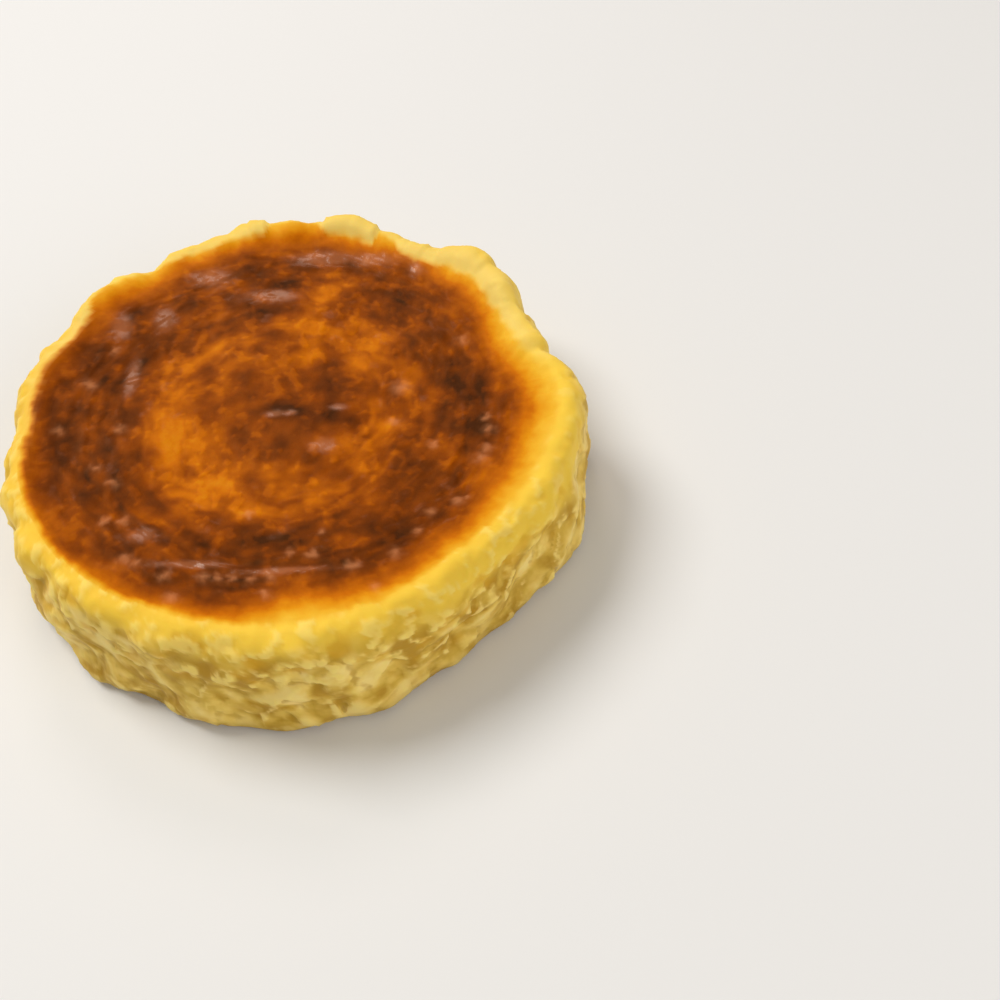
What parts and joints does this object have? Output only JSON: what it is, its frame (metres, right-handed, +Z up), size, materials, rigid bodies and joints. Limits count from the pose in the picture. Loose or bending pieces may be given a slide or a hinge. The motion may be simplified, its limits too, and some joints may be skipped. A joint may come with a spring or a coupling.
{
  "type": "jiggly cheesecake",
  "caption": "Small round crustless cheesecake with a flat base, a creased bellied wall, a folded raised rim and a shallow browned top.",
  "frame": {"origin": "middle of the cake's box, on the flat base that it stands on", "axes": "+Z up; -Y towards the side of the cake that faces the camera in the picture; +X to the right in that view"},
  "size_m": [0.1394, 0.1392, 0.0325],
  "materials": {
    "baked_custard": "soft, moist satin; pale yellow wall and a glossy dark-browned top"
  },
  "bodies": {
    "root": {"cheesecake": "baked_custard"}
  },
  "joints": []
}
